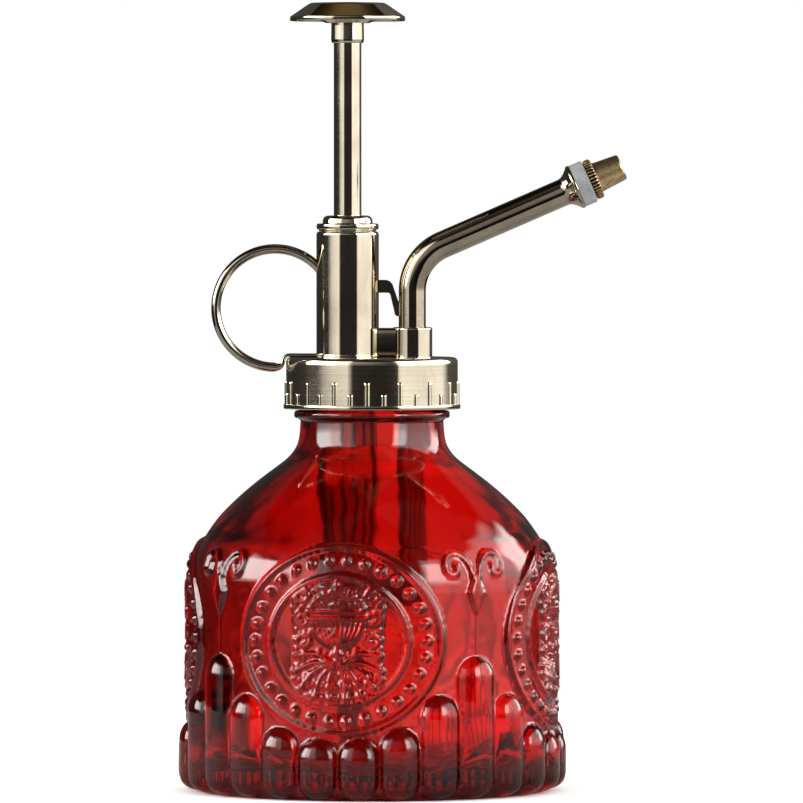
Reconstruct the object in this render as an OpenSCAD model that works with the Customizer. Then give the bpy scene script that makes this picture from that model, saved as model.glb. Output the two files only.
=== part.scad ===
// Hand mister: a fluted, embossed glass bottle with a one-hand plunger pump.
// The bottle stands on z = 0 with its axis on z. The pump's parts lie in the x-z plane:
// the finger ring towards -x, the spray nozzle towards +x. All sizes are in millimetres.

/* [Bottle] */
// Radius of the plain wall of the body
body_r = 38.2; // [37.8:0.1:38.4]
// Radius of the neck
neck_r = 15; // [14.8:0.1:15.2]
// Thickness of the glass
wall = 2.6; // [2.2:0.1:2.8]
// Height of the bottle's rim
rim_z = 88.5; // [88.5:0.1:88.5]
// Number of flutes round the foot, a multiple of four
flutes = 28; // [28:28:28]
// Direction of the first medallion, seen from above
medallion_az = -100.5; // [-135:0.5:-45]

/* [Screw cap] */
// Outer radius of the ribbed skirt
cap_r = 18; // [18:0.1:18.3]
// Height of the deck's upper face
deck_z = 90.8; // [90.8:0.1:90.8]
// Rise of the thread in one turn
pitch = 3.2; // [3:0.1:3.4]
// Number of long ribs, with as many short ones between
ribs = 16; // [12:1:18]

/* [Pump] */
// Position of the barrel's axis along x
barrel_x = -5.1; // [-5.2:0.1:-5]
// Outer radius of the barrel
barrel_r = 6.55; // [6.4:0.05:6.6]
// Bore radius of the pump cylinder
bore_r = 4.8; // [4.8:0.1:4.8]
// Radius of the plunger rod
rod_r = 2.9; // [2.7:0.1:2.9]
// Height of the thumb button's top at rest
top_z = 165; // [164:0.5:166]
// Radius of the thumb button
button_r = 12.1; // [10:0.1:13]

/* [Spray pipe] */
// Position of the riser's axis along x
riser_x = 8.45; // [8.4:0.05:8.5]
// Outer radius of the pipe
pipe_r = 2.85; // [2.7:0.05:2.85]
// Rise of the spout above the horizontal, in degrees
spout_angle = 23.5; // [20:0.5:26]
// Radius of the bend, at the pipe's centre
bend_r = 10.5; // [9:0.5:11]

/* [Finger ring] */
// Mean radius of the ring
ring_r = 12.4; // [12:0.1:12.6]
// Thickness of the ring, along its radius
ring_t = 2; // [1.6:0.1:2.2]
// Width of the ring, along its axis
ring_w = 3.4; // [2.4:0.1:4]

/* [Hidden] */
$fn = 64;
running = 0.05; // radial clearance of a sliding or turning fit

// Bottle
shoulder_slope = 46.5;   // angle between the cone of the shoulder and the axis
neck_fillet = 7;
shoulder_arc = 16;
fillet_c = [neck_r + neck_fillet, 75];
shoulder_c = [body_r - shoulder_arc, 43.13];
floor_z = 6;
foot_in = 28;            // inner radius of the standing ring
foot_out = 35.5;
pushup = 1.2;            // depth of the hollow under the base
bead_r = 16.3;
bead_z = 78.3;
bead_top = 79.7;
lobe_r = 4;              // radius of a flute's round section
lobe_c = 36.9;           // distance of its centre from the axis
flute_tops = [29.5, 21.6, 14.9, 12.9];
medallion_z = 33.2;
medallion_rings = [[19.6, 1.0], [13.8, 0.9]]; // radius and line width
relief = 0.7;

// Thread on the neck and in the cap
thread_turns = 1.25;
thread_z = 81.6;
thread_h = 1.1;
neck_crest = 15.95;
cap_in = 16.55;
cap_crest = 15.35;

// Cap
deck_t = 1.3;
skirt_z = 80;
flange_r = 18.55;
flange_h = 1;
gasket_t = 1;
rib_w = 0.95;
rib_out = 0.35;
rib_tops = [85.8, 83.3];
under_deck = deck_z - deck_t;

// Barrel and cylinder
sleeve_in = 5.6;
sleeve_top = 117.2;
cylinder_top = 113.2;
cylinder_r = 6.1;
seal_t = 0.8;
gland_flange = 1.6;
gland_top = 120.5;

// Valve block
block_z = 34;
block_top = 46;
spigot_top = 49;
dip_r = 2;
dip_in = 1.3;
dip_end = 8.2;
dip_seat = 39;
delivery_r = 3;
delivery_in = 2.2;
ball_r = 1.6;
seat_r = 1;
seat_z = 40.5;
chamber_r = 2.1;
outlet_ball_r = 1.5;

// Plunger
button_t = 4.2;
button_top_r = 7.9;
ferrule_r = 3.46;
ferrule_z = 156.6;
rod_top = 163;
piston_top = 112.8;
piston_z = 106;
piston_r = 4.6;
seal_r = bore_r - 0.03;
groove_r = 3.6;
spigot_r = 1.75;
nut_z = 104.2;

// Spring
spring_wire = 0.8;
spring_mean = 3.75;
spring_turns = 14;

// Spray pipe
bend_angle = 90 - spout_angle;
bend_len = bend_r * tan(bend_angle / 2); // from each tangent point to the corner
corner_z = 111.6;
pipe_in = 1.9;
socket_r = 4.2;
socket_top = 97.1;
pipe_foot = 92;
flare = [35.8, 37.6];    // start and end of the flare, measured along the spout from the corner
flare_r = 4.75;
washer_end = 40.5;
knurl_end = 42.05;
tip_end = 47.95;
nipple_r = 2.3;
nipple_in = 1.3;
nipple_end = 45.2;
core_end = 46.2;
knurl_r = 4.35;
knurl_teeth = 36;

// Finger ring
ring_c = [-20.3, 101.1];
tab_t = 0.8;
tab_w = 3;

bronze = "#b9a98a";
white_plastic = "#dfe3ea";
rubber_black = "#2b2a2a";

// Points of an arc round c from angle a0 to a1, in n steps
function arc(c, r, a0, a1, n = 8) =
    [for (i = [0:n]) let (a = a0 + (a1 - a0) * i / n) c + r * [cos(a), sin(a)]];

// Neck, shoulder and wall of the bottle, from the top down, moved inwards by d
function bottle_side(d) = concat(
    arc(fillet_c, neck_fillet + d, 180, 180 + shoulder_slope, 6),
    arc(shoulder_c, shoulder_arc - d, shoulder_slope, 0, 8));

module tube(r, r_in, z0, z1) {
    translate([0, 0, z0]) difference() {
        cylinder(r = r, h = z1 - z0);
        translate([0, 0, -1]) cylinder(r = r_in, h = z1 - z0 + 2);
    }
}

module rod(r, z0, z1) {
    translate([0, 0, z0]) cylinder(r = r, h = z1 - z0);
}

// A helical ridge of trapezoid section between radii root and crest
module thread_ridge(root, crest, z, h, turns) {
    steps = 20 * turns;
    taper = 0.25 * (crest > root ? 1 : -1);
    points = [for (i = [0:steps]) let (
            a = 360 * turns * i / steps,
            fade = min(1, i / 4, (steps - i) / 4),
            out = root + (crest - root) * max(0.05, fade),
            base = z + pitch * turns * i / steps)
        for (p = [[root - taper, 0], [out, 0.25], [out, h - 0.25], [root - taper, h]])
            [p[0] * cos(a), p[0] * sin(a), base + p[1]]];
    sides = [for (i = [0:steps - 1], j = [0:3]) let (k = 4 * i, m = (j + 1) % 4)
        [k + j, k + m, k + 4 + m, k + 4 + j]];
    ends = [[3, 2, 1, 0], [4 * steps, 4 * steps + 1, 4 * steps + 2, 4 * steps + 3]];
    faces = concat(sides, ends);
    polyhedron(points, crest > root ? faces : [for (f = faces) [f[3], f[2], f[1], f[0]]]);
}

// One flute of the foot: a round bar with a ball at each end, which meets the wall at height top
module flute(top) {
    rise = sqrt(pow(lobe_r, 2) - pow(body_r - lobe_c, 2));
    length = top - rise - lobe_r;
    translate([lobe_c, 0, lobe_r]) {
        sphere(r = lobe_r, $fn = 32);
        cylinder(r = lobe_r - 0.05, h = length, $fn = 32);
        translate([0, 0, length]) sphere(r = lobe_r, $fn = 32);
    }
}

// The raised rings of one medallion, facing +x, cut to stand on the wall and the shoulder's foot
module medallion() {
    top = medallion_z + medallion_rings[0][0] + 1;
    intersection() {
        union() for (ring = medallion_rings)
            translate([0, 0, medallion_z]) rotate([0, 90, 0]) difference() {
                cylinder(r = ring[0], h = body_r + 2);
                translate([0, 0, -1]) cylinder(r = ring[0] - ring[1], h = body_r + 4);
            }
        rotate_extrude() polygon(concat(
            [[body_r - 4, floor_z], [body_r + relief, floor_z]],
            arc(shoulder_c, shoulder_arc + relief, 0, shoulder_slope, 6),
            [[body_r - 8, top]]));
    }
}

module bottle() {
    color("#b01218") difference() {
        union() {
            rotate_extrude() polygon(concat(
                [[0, pushup], [foot_in - 1.5, pushup], [foot_in, 0], [foot_out, 0]],
                arc([foot_out, body_r - foot_out], body_r - foot_out, -90, 0, 4),
                [for (i = [len(bottle_side(0)) - 1:-1:0]) bottle_side(0)[i]],
                [[neck_r, bead_z - 0.7], [bead_r, bead_z], [bead_r, bead_top - 0.3],
                    [bead_r - 0.3, bead_top], [neck_r - 0.1, bead_top], [neck_r - 0.1, rim_z],
                    [0, rim_z]]));
            for (i = [0:flutes - 1])
                rotate([0, 0, medallion_az + 45 + i * 360 / flutes])
                    flute(flute_tops[min(i % 7, 7 - i % 7)]);
            for (i = [0:3]) rotate([0, 0, medallion_az + 90 * i]) medallion();
            thread_ridge(neck_r - 0.1, neck_crest, thread_z, thread_h, thread_turns);
        }
        rotate_extrude() polygon(concat(
            [[0, rim_z + 1], [neck_r - wall, rim_z + 1]],
            bottle_side(wall),
            arc([body_r - wall - 6, floor_z + 6], 6, 0, -90, 5),
            [[0, floor_z]]));
    }
}

module rim_gasket() {
    color(white_plastic) tube(neck_r, neck_r - wall, rim_z, rim_z + gasket_t);
}

// Threaded cap with a deck that carries the pump, and ribs of two lengths for grip
module screw_cap() {
    color(bronze) {
        difference() {
            union() {
                rotate_extrude() polygon(concat(
                    [[0, deck_z]],
                    arc([cap_r - 1, deck_z - 1], 1, 90, 0, 4),
                    [[cap_r, skirt_z + flange_h], [flange_r - 0.2, skirt_z + flange_h],
                        [flange_r, skirt_z + flange_h - 0.2], [flange_r, skirt_z],
                        [0, skirt_z]]));
                for (i = [0:2 * ribs - 1])
                    rotate([0, 0, 360 / 2 / ribs * i - 93.1])
                        translate([cap_r - 1, -rib_w / 2, skirt_z + flange_h / 2])
                            cube([1 + rib_out, rib_w, rib_tops[i % 2] - skirt_z - flange_h / 2]);
            }
            translate([0, 0, skirt_z - 1]) cylinder(r = cap_in, h = under_deck - skirt_z + 1);
            translate([barrel_x, 0, skirt_z]) cylinder(r = sleeve_in, h = 20);
            translate([riser_x, 0, skirt_z]) cylinder(r = delivery_in, h = 20);
        }
        // turned half a turn from the ridge on the neck, so that the two run between each other
        rotate([0, 0, 180]) thread_ridge(cap_in, cap_crest, thread_z, thread_h, thread_turns);
    }
}

module barrel_sleeve() {
    color(bronze) translate([barrel_x, 0, 0]) rotate_extrude() polygon(concat(
        [[sleeve_in, deck_z], [barrel_r, deck_z]],
        arc([barrel_r - 0.8, sleeve_top - 0.8], 0.8, 0, 90, 4),
        [[sleeve_in, sleeve_top]]));
}

// Gland nut that closes the barrel and guides the rod
module barrel_cap() {
    lip = sleeve_top + gland_flange;
    color(bronze) translate([barrel_x, 0, 0]) rotate_extrude() polygon(concat(
        [[rod_r + running, cylinder_top + 2.2], [5.2, cylinder_top + 2.2], [5.2, cylinder_top],
            [sleeve_in, cylinder_top], [sleeve_in, sleeve_top], [barrel_r - 0.5, sleeve_top]],
        arc([barrel_r - 0.7, sleeve_top + 0.8], 0.6, -60, 90, 6),
        [[5.1, lip]],
        arc([3.9, gland_top - 1.1], 1.1, 0, 90, 5),
        [[rod_r + running, gland_top]]));
}

module rod_wiper() {
    color(rubber_black) translate([barrel_x, 0, 0])
        tube(5.2, rod_r + 0.03, cylinder_top, cylinder_top + 2.2);
}

// Oval wire bent round from the barrel to a tab that lies on the cap's deck
module finger_ring() {
    section = [for (a = [0:15:345]) [ring_r + ring_t / 2 * cos(a), ring_w / 2 * sin(a)]];
    low = ring_c[1] - ring_r - ring_t / 2;
    tab_top = deck_z + tab_t;
    color(bronze) difference() {
        union() {
            translate([ring_c[0], 0, ring_c[1]]) rotate([90, 0, 0]) rotate([0, 0, 38])
                rotate_extrude(angle = 238) polygon(section);
            translate([0, tab_w / 2, 0]) rotate([90, 0, 0]) linear_extrude(tab_w) polygon([
                [ring_c[0] - 1, low + 0.3], [-cap_r - 0.9, low + 0.5], [-cap_r - 0.1, low + 1.4],
                [-cap_r - 0.05, deck_z - 0.5], [-cap_r + 0.6, deck_z], [barrel_x, deck_z],
                [barrel_x, tab_top], [-cap_r + 0.2, tab_top], [-cap_r - 0.9, tab_top - 0.5],
                [-cap_r - 1.6, low + ring_t - 0.1], [ring_c[0] - 1, low + ring_t - 0.3]]);
        }
        translate([barrel_x, 0, deck_z - 30]) cylinder(r = barrel_r, h = 60);
    }
}

// Boss for the riser, joined to the barrel by a bridge
module nozzle_socket() {
    h = socket_top - deck_z;
    color(bronze) difference() {
        union() {
            translate([riser_x, 0, deck_z]) cylinder(r = socket_r, h = h);
            translate([barrel_x, -2.5, deck_z]) cube([riser_x - barrel_x, 5, h]);
        }
        translate([barrel_x, 0, deck_z - 1]) cylinder(r = barrel_r, h = h + 2);
        translate([riser_x, 0, pipe_foot]) cylinder(r = pipe_r, h = h);
        translate([riser_x, 0, deck_z - 1]) cylinder(r = delivery_in, h = h);
    }
}

// Hooked web that holds the riser off the barrel
module brace() {
    color(bronze) difference() {
        translate([0, 0.7, 0]) rotate([90, 0, 0]) linear_extrude(1.4) polygon(concat(
            [[barrel_x + 4, 104.3], [3.7, 104.3], [4.9, 99.4], [riser_x, 99.4], [riser_x, 102.2],
                [5.5, 102.2]],
            arc([3, 105.6], 1.4, 10, 90, 5),
            [[barrel_x + 4, 107]]));
        translate([barrel_x, 0, 90]) cylinder(r = barrel_r, h = 30);
        translate([riser_x, 0, 90]) cylinder(r = pipe_r, h = 20);
    }
}

module pump_cylinder() {
    shoulder = under_deck - seal_t;
    color(bronze) translate([barrel_x, 0, 0]) rotate_extrude() polygon([
        [bore_r, block_top], [cylinder_r, block_top], [cylinder_r, shoulder],
        [sleeve_in, shoulder], [sleeve_in, cylinder_top], [bore_r, cylinder_top]]);
}

module cylinder_seal() {
    color(rubber_black) translate([barrel_x, 0, 0])
        tube(cylinder_r + 0.7, sleeve_in, under_deck - seal_t, under_deck);
}

// Foot of the pump: joins cylinder, delivery tube and dip tube, and holds both ball seats
module valve_block() {
    gallery_z = 44.4;
    color(white_plastic) difference() {
        union() {
            translate([barrel_x, 0, 0]) {
                rod(cylinder_r, block_z, block_top);
                rod(bore_r, block_top - 1, spigot_top);
            }
            translate([riser_x, 0, 0]) {
                rod(delivery_r, block_z + 5, block_top);
                rod(delivery_in, block_top - 1, spigot_top);
            }
            translate([barrel_x, -2, block_z + 5])
                cube([riser_x - barrel_x, 4, block_top - block_z - 5]);
        }
        translate([barrel_x, 0, 0]) {
            rod(dip_r, block_z - 1, dip_seat);
            rod(seat_r, dip_seat - 1, seat_z + 1);
            rod(chamber_r, seat_z, spigot_top + 1);
        }
        translate([riser_x, 0, 0]) rod(seat_r, gallery_z - 1.2, spigot_top + 1);
        translate([barrel_x, 0, gallery_z]) rotate([0, 90, 0])
            cylinder(r = 0.8, h = riser_x - barrel_x);
    }
}

module inlet_ball() {
    lift = sqrt(pow(ball_r, 2) - pow(seat_r, 2)) + 0.03;
    color("#c9ccd0") translate([barrel_x, 0, seat_z + lift]) sphere(r = ball_r);
}

// Pressed-in disc that keeps the inlet ball in its chamber
module inlet_cage() {
    color(white_plastic) translate([barrel_x, 0, 45.4]) difference() {
        cylinder(r = chamber_r, h = 1.4);
        for (a = [0:120:240]) rotate([0, 0, a]) translate([1.1, 0, -1])
            cylinder(r = 0.5, h = 4);
    }
}

module outlet_ball() {
    lift = sqrt(pow(outlet_ball_r, 2) - pow(seat_r, 2)) + 0.03;
    color("#c9ccd0") translate([riser_x, 0, spigot_top + lift]) sphere(r = outlet_ball_r);
}

// Tube beside the cylinder, with a crimped waist that stops the outlet ball
module delivery_tube() {
    waist_z = spigot_top + 4;
    color(bronze) translate([riser_x, 0, 0]) rotate_extrude() polygon([
        [delivery_in, block_top], [delivery_r, block_top], [delivery_r, waist_z - 1],
        [delivery_r - 0.8, waist_z], [delivery_r, waist_z + 1], [delivery_r, under_deck],
        [delivery_in, under_deck], [delivery_in, waist_z + 1], [delivery_in - 0.8, waist_z],
        [delivery_in, waist_z - 1]]);
}

module dip_tube() {
    color(white_plastic) translate([barrel_x, 0, 0]) difference() {
        tube(dip_r, dip_in, dip_end, dip_seat);
        translate([-5, -5, dip_end - 8.4]) rotate([0, -30, 0]) cube([14, 10, 6]);
    }
}

// Moves its children from the z axis to the spout, with z counted from the bend's corner
module along_spout() {
    translate([riser_x, 0, corner_z]) rotate([0, bend_angle, 0]) children();
}

// Riser, bend and spout, ending in a flare and the nipple that the nozzle screws on
module nozzle_tube() {
    lap = 0.2;  // the straight stretches run this far over the ends of the bend
    draw = 0.03; // the bend's wall is drawn in by this much
    color(bronze) {
        translate([riser_x, 0, 0]) tube(pipe_r, pipe_in, pipe_foot, corner_z - bend_len + lap);
        translate([riser_x + bend_r, 0, corner_z - bend_len]) rotate([90, 0, 0])
            rotate([0, 0, 180 - bend_angle]) rotate_extrude(angle = bend_angle)
                translate([bend_r, 0]) difference() {
                    circle(r = pipe_r - draw);
                    circle(r = pipe_in - draw);
                }
        along_spout() rotate_extrude() polygon([
            [pipe_in, bend_len - lap], [pipe_r, bend_len - lap], [pipe_r, flare[0]],
            [flare_r, flare[1] - 0.6], [flare_r, flare[1]], [nipple_r, flare[1]],
            [nipple_r, nipple_end], [nipple_in, nipple_end], [nipple_in, flare[1] - 1],
            [pipe_in, flare[1] - 2]]);
    }
}

module nozzle_washer() {
    color(white_plastic) along_spout() rotate_extrude() polygon([
        [nipple_r, flare[1]], [4.65, flare[1]], [4.65, washer_end - 0.5],
        [4.4, washer_end], [nipple_r, washer_end]]);
}

// Slotted core that sets the water spinning before the orifice
module swirl_core() {
    color(white_plastic) along_spout() translate([0, 0, nipple_end]) difference() {
        cylinder(r = 1.9, h = core_end - nipple_end);
        for (a = [0, 180]) rotate([0, 0, a]) translate([0.4, -0.25, -1]) cube([3, 0.5, 3]);
    }
}

// Knurled brass nozzle that screws on the nipple
module nozzle_cap() {
    gap = 0.05;
    color("#a8804a") along_spout() difference() {
        union() {
            rotate_extrude() polygon([
                [0, washer_end + gap], [knurl_r - 0.35, washer_end + gap],
                [knurl_r - 0.35, knurl_end], [3.2, knurl_end], [2.7, tip_end - 0.2],
                [2.5, tip_end], [0, tip_end]]);
            for (i = [0:knurl_teeth - 1]) rotate([0, 0, i * 360 / knurl_teeth])
                translate([knurl_r - 0.8, -0.2, washer_end + gap + 0.1])
                    cube([0.8, 0.4, knurl_end - washer_end - gap - 0.2]);
        }
        rod(nipple_r + 0.06, washer_end - 1, core_end + 0.1);
        rod(0.3, core_end - 1, tip_end + 1);
    }
}

module plunger_rod() {
    color(bronze) translate([barrel_x, 0, 0]) {
        rod(rod_r, piston_top, rod_top);
        rod(spigot_r, nut_z, piston_top);
    }
}

module rod_ferrule() {
    color(bronze) translate([barrel_x, 0, 0]) rotate_extrude() polygon([
        [rod_r, ferrule_z], [ferrule_r - 0.25, ferrule_z], [ferrule_r, ferrule_z + 0.25],
        [ferrule_r, top_z - button_t], [rod_r, top_z - button_t]]);
}

module thumb_button() {
    color(bronze) translate([barrel_x, 0, 0]) rotate_extrude() polygon(concat(
        [[0, rod_top], [rod_r, rod_top], [rod_r, top_z - button_t], [5, top_z - button_t],
            [6, top_z - button_t + 0.5], [button_r - 0.4, top_z - button_t + 0.5]],
        arc([button_r - 0.35, top_z - 3.35], 0.35, -90, 45, 4),
        [[button_top_r + 0.4, top_z - 0.25], [button_top_r - 0.3, top_z], [0, top_z + 0.2]]));
}

module piston() {
    mid = (piston_z + piston_top) / 2;
    color(white_plastic) translate([barrel_x, 0, 0]) rotate_extrude() polygon([
        [spigot_r, piston_z], [piston_r - 0.3, piston_z], [piston_r, piston_z + 0.3],
        [piston_r, mid - 1], [groove_r, mid - 1], [groove_r, mid + 1], [piston_r, mid + 1],
        [piston_r, piston_top - 0.3], [piston_r - 0.3, piston_top], [spigot_r, piston_top]]);
}

module piston_seal() {
    mid = (piston_z + piston_top) / 2;
    color(rubber_black) translate([barrel_x, 0, 0]) tube(seal_r, groove_r, mid - 1, mid + 1);
}

module piston_nut() {
    color("#a8804a") translate([barrel_x, 0, nut_z]) difference() {
        cylinder(r = 3, h = piston_z - nut_z, $fn = 6);
        translate([0, 0, -1]) cylinder(r = spigot_r, h = 4);
    }
}

// Coil spring between the valve block's spigot and the piston
module return_spring() {
    sides = 6;
    steps = 14 * spring_turns;
    wire = spring_wire / 2;
    z0 = spigot_top + wire;
    rise = piston_z - wire - z0;
    points = [for (i = [0:steps]) let (a = 360 * spring_turns * i / steps)
        for (j = [0:sides - 1]) let (b = 360 * j / sides, r = spring_mean + wire * cos(b))
            [r * cos(a), r * sin(a), z0 + rise * i / steps + wire * sin(b)]];
    walls = [for (i = [0:steps - 1], j = [0:sides - 1]) let (k = sides * i, m = (j + 1) % sides)
        [k + j, k + m, k + sides + m, k + sides + j]];
    ends = [[for (j = [sides - 1:-1:0]) j],
        [for (j = [0:sides - 1]) sides * steps + j]];
    color("#c9ccd0") translate([barrel_x, 0, 0]) polyhedron(points, concat(walls, ends));
}

bottle();
rim_gasket();
screw_cap();
barrel_sleeve();
barrel_cap();
rod_wiper();
finger_ring();
nozzle_socket();
brace();
pump_cylinder();
cylinder_seal();
valve_block();
inlet_ball();
inlet_cage();
outlet_ball();
delivery_tube();
dip_tube();
nozzle_tube();
nozzle_washer();
swirl_core();
nozzle_cap();
plunger_rod();
rod_ferrule();
thumb_button();
piston();
piston_seal();
piston_nut();
return_spring();
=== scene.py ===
"""Looks of the hand mister: a pressed ruby-glass bottle with a plated one-hand pump.

Shapes are written in millimetres and turned into metres by MM. The bottle stands on z = 0 with
its axis on z, the spray nozzle points towards +x and the camera looks along +y.
"""

import math

import bmesh
import bpy
import numpy as np
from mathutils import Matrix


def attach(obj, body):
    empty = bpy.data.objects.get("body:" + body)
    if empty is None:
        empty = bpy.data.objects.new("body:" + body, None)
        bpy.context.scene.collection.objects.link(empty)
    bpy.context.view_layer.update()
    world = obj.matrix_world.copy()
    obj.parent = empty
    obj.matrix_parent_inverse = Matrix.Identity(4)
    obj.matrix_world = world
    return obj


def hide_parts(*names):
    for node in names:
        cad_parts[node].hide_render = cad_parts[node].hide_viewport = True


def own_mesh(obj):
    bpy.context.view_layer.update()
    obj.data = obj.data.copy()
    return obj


MM = 0.001
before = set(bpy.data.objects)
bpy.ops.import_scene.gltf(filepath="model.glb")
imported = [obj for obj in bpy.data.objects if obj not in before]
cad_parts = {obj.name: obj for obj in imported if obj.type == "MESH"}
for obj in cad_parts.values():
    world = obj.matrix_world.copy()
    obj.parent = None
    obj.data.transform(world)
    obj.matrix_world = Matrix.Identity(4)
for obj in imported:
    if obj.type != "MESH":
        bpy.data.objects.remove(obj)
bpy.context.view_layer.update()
scene = bpy.context.scene

# Sizes shared with the CAD model, in mm
BARREL_X, BARREL_R, SLEEVE_IN, SLEEVE_TOP = -5.1, 6.55, 5.6, 117.2
RISER_X, PIPE_R, PIPE_IN, PIPE_FOOT = 8.45, 2.85, 1.9, 92.0
CORNER_Z, BEND_R, BEND_ANGLE = 111.6, 10.5, math.radians(66.5)
ARC = BEND_R * BEND_ANGLE  # length of the bend
REACH = BEND_R * math.tan(BEND_ANGLE / 2)  # from the bend's corner to each of its ends
DECK_Z, DECK_T, SKIRT_Z, CAP_R, CAP_IN, CAP_CREST = 90.8, 1.3, 80.0, 18.0, 16.55, 15.35
PITCH, THREAD_Z, THREAD_H, THREAD_TURNS = 3.2, 81.6, 1.1, 1.25
RING_X, RING_Z, RING_R = -20.3, 101.1, 12.4
ROD_R, ROD_TOP = 2.9, 163.0
SPRING_FOOT, SPRING_TOP, STROKE = 49.0, 106.0, 35.0
MEDALLION_AZ = math.radians(-100.5)


# ---------------------------------------------------------------- mesh tools


def rounded(points, steps=5, closed=True):
    """The points of an outline, with each corner that has a third number rounded to that radius."""
    out = []
    for i, point in enumerate(points):
        corner = np.array(point[:2], float)
        ends = (i == 0 or i == len(points) - 1) and not closed
        if len(point) < 3 or ends:
            out.append(tuple(corner))
            continue
        back = np.array(points[i - 1][:2], float) - corner
        ahead = np.array(points[(i + 1) % len(points)][:2], float) - corner
        back, ahead = back / np.linalg.norm(back), ahead / np.linalg.norm(ahead)
        half = math.acos(np.clip(back @ ahead, -1, 1)) / 2
        middle = (back + ahead) / np.linalg.norm(back + ahead)
        centre = corner + middle * point[2] / math.sin(half)
        start = corner + back * point[2] / math.tan(half) - centre
        end = corner + ahead * point[2] / math.tan(half) - centre
        a0 = math.atan2(start[1], start[0])
        turn = (math.atan2(end[1], end[0]) - a0 + math.pi) % (2 * math.pi) - math.pi
        for k in range(steps + 1):
            a = a0 + turn * k / steps
            out.append((centre[0] + point[2] * math.cos(a), centre[1] + point[2] * math.sin(a)))
    return out


def upright(x):
    """A vertical axis through (x, 0): distance s is the height."""
    return lambda s: (np.array([x, 0, s]), np.array([1.0, 0, 0]), np.array([0, 1.0, 0]))


def pipe_axis(s):
    """The centre line of the pipe: s is 0 halfway round the bend and grows towards the tip."""
    turn = np.clip((s + ARC / 2) / ARC, 0, 1) * BEND_ANGLE
    start = np.array([RISER_X, 0, CORNER_Z - REACH])
    point = start + BEND_R * np.array([1 - math.cos(turn), 0, math.sin(turn)])
    along = np.array([math.sin(turn), 0, math.cos(turn)])
    if s > ARC / 2:
        point = point + along * (s - ARC / 2)
    elif s < -ARC / 2:
        point = point + along * (s + ARC / 2)
    return point, np.array([along[2], 0, -along[0]]), np.array([0, 1.0, 0])


def spout_axis(s):
    """The straight axis of the spout: s is the distance from the bend's corner."""
    along = np.array([math.sin(BEND_ANGLE), 0, math.cos(BEND_ANGLE)])
    return (np.array([RISER_X, 0, CORNER_Z]) + along * s, np.array([along[2], 0, -along[0]]),
            np.array([0, 1.0, 0]))


def supported(profile, closed):
    """The profile with a point near each end of every long stretch, so its shading stays flat."""
    long, near = 0.6, 0.05
    out = []
    for a, b in zip(profile, profile[1:] + profile[:1] if closed else profile[1:]):
        out.append(a)
        length = math.hypot(b[0] - a[0], b[1] - a[1])
        if length > long:
            for f in (near / length, 1 - near / length):
                out.append((a[0] + (b[0] - a[0]) * f, a[1] + (b[1] - a[1]) * f))
    return out if closed else [*out, profile[-1]]


def revolve(profile, axis, segments=96, closed=True, angles=None, extra=None):
    """Turns (radius, distance) points round an axis. extra(i, angles) widens point i."""
    if extra is None:
        profile = supported(list(profile), closed)
    if angles is None:
        angles = np.arange(segments) * 2 * math.pi / segments
    cos, sin, n = np.cos(angles)[:, None], np.sin(angles)[:, None], len(angles)
    verts, rings, count = [], [], 0
    for i, (r, s) in enumerate(profile):
        origin, e1, e2 = axis(s)
        if r < 1e-6:
            verts.append(origin[None])
            rings.append([count] * n)
            count += 1
        else:
            radius = r + (extra(i, angles)[:, None] if extra else 0)
            verts.append(origin + radius * (cos * e1 + sin * e2))
            rings.append(list(range(count, count + n)))
            count += n
    faces = []
    pairs = list(zip(rings, rings[1:])) + ([(rings[-1], rings[0])] if closed else [])
    for a, b in pairs:
        for k in range(n):
            m = (k + 1) % n
            face = [a[k], a[m], b[m], b[k]]
            faces.append(list(dict.fromkeys(face)))
    return np.vstack(verts), [f for f in faces if len(f) > 2]


def skin(rows, n, capped=True):
    """Faces between rows of n points each, with a face over each end if capped."""
    faces = [[i * n + k, i * n + (k + 1) % n, (i + 1) * n + (k + 1) % n, (i + 1) * n + k]
             for i in range(rows - 1) for k in range(n)]
    return faces + [list(range(n)), [(rows - 1) * n + k for k in range(n)]] if capped else faces


def sweep(points, sections):
    """Joins closed sections along a path in the x-z plane, with capped ends.

    Each section is a list of (in-plane, y) offsets from its point of the path.
    """
    path = np.array(points, float)
    tangent = np.gradient(path, axis=0)
    tangent /= np.linalg.norm(tangent, axis=1)[:, None]
    verts = [[p[0] + t[1] * u, v, p[1] - t[0] * u]
             for p, t, section in zip(path, tangent, sections) for u, v in section]
    return np.array(verts), skin(len(path), len(sections[0]))


def oval(half_u, half_v, power=1.0, n=24):
    """A closed section between an ellipse (power 1) and a rounded box (smaller power)."""
    out = []
    for k in range(n):
        a = 2 * math.pi * k / n
        c, s = math.cos(a), math.sin(a)
        out.append((half_u * math.copysign(abs(c) ** power, c),
                    half_v * math.copysign(abs(s) ** power, s)))
    return out


def plate(outline, y0, y1, bevel):
    """A flat plate in the x-z plane between y0 and y1, with its edges bevelled."""
    pts = np.array(outline, float)
    back, ahead = pts - np.roll(pts, 1, 0), np.roll(pts, -1, 0) - pts
    back /= np.linalg.norm(back, axis=1)[:, None]
    ahead /= np.linalg.norm(ahead, axis=1)[:, None]
    normal = back + ahead
    normal = np.stack([normal[:, 1], -normal[:, 0]], 1)
    normal /= np.linalg.norm(normal, axis=1)[:, None]
    x, z = pts[:, 0], pts[:, 1]
    area = np.sum(x * np.roll(z, -1) - np.roll(x, -1) * z)
    inner = pts - normal * bevel * math.copysign(1, area)
    rings = [(inner, y0), (pts, y0 + bevel), (pts, y1 - bevel), (inner, y1)]
    verts = np.vstack([np.stack([p[:, 0], np.full(len(p), y), p[:, 1]], 1) for p, y in rings])
    return verts, skin(len(rings), len(pts))


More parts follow.
